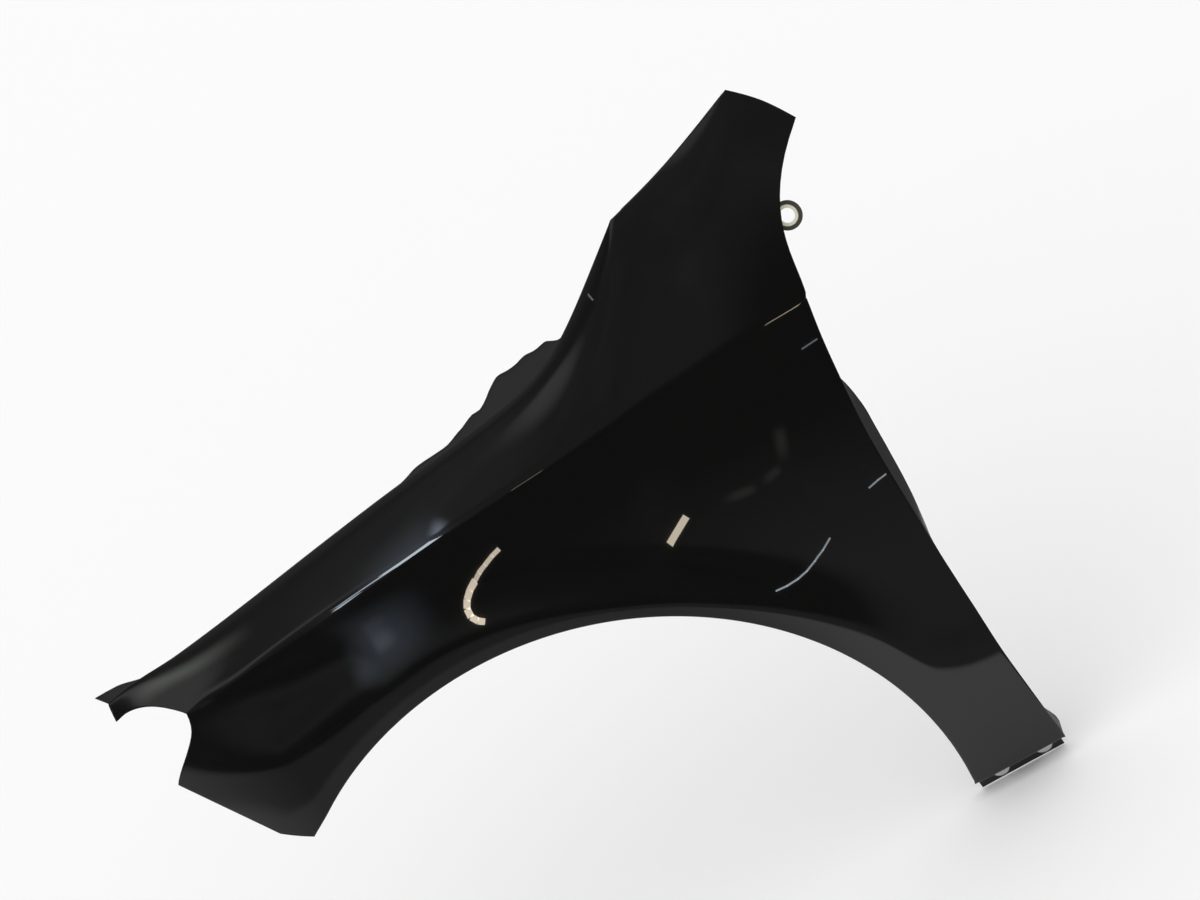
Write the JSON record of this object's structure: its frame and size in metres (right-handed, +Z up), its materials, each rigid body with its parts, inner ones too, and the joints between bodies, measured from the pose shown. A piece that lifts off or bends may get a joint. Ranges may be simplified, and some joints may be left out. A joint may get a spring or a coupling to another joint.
{
  "type": "car fender",
  "caption": "Left front car fender pressed from sheet steel, painted gloss black, with a round wheel arch, a shoulder crease, a headlamp notch and bolt-on flanges.",
  "frame": {"origin": "inboard face of the sill tab, midway between its two bolt holes", "axes": "+X to the rear of the car along the sill, +Y inboard, +Z up"},
  "size_m": [0.935, 0.2195, 0.7662],
  "materials": {
    "black_paint": "gloss black clear coat outside, dull black in the folds and inside"
  },
  "bodies": {
    "root": {"fender_panel": "black_paint"}
  },
  "joints": []
}
